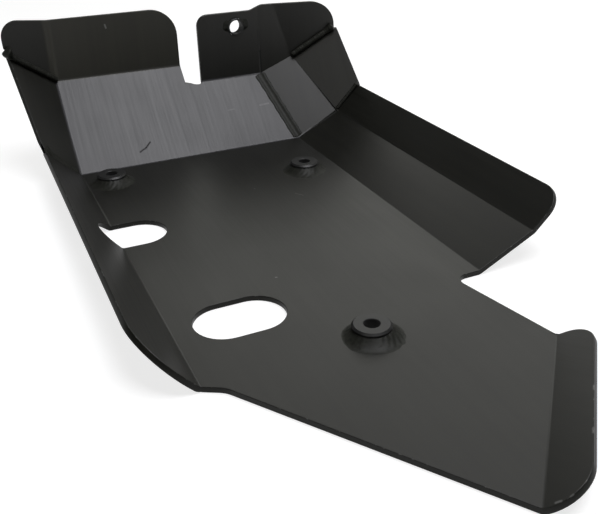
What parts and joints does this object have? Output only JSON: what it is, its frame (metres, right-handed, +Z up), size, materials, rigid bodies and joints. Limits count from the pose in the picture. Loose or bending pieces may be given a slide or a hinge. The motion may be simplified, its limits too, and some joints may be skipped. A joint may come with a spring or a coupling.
{
  "type": "motorcycle skid plate",
  "caption": "Folded black aluminium skid plate: shallow tray with sloped sides, welded corners, slotted turned-up front with a bush, pointed lipped tail, recessed bolt cups and oval openings.",
  "frame": {"origin": "axis of the rear bolt cup at the underside of the floor", "axes": "+Y to the front of the motorcycle, +X to its right, +Z up"},
  "size_m": [0.3367, 0.5948, 0.1354],
  "materials": {
    "sheet": "satin black coating over rolled sheet",
    "turned": "satin black coating over turned faces",
    "weld": "satin black coating over rippled weld"
  },
  "bodies": {
    "root": {"plate": "sheet", "cup_front_left": "turned", "cup_front_right": "turned", "cup_rear": "turned", "tab_bush": "turned", "cup_weld_front_left": "weld", "cup_weld_front_right": "weld", "cup_weld_rear": "weld", "bush_welds": "weld", "weld_left_wall": "weld", "weld_left_wing": "weld", "weld_corner": "weld", "weld_flange_corner": "weld", "weld_right_wing": "weld"}
  },
  "joints": []
}
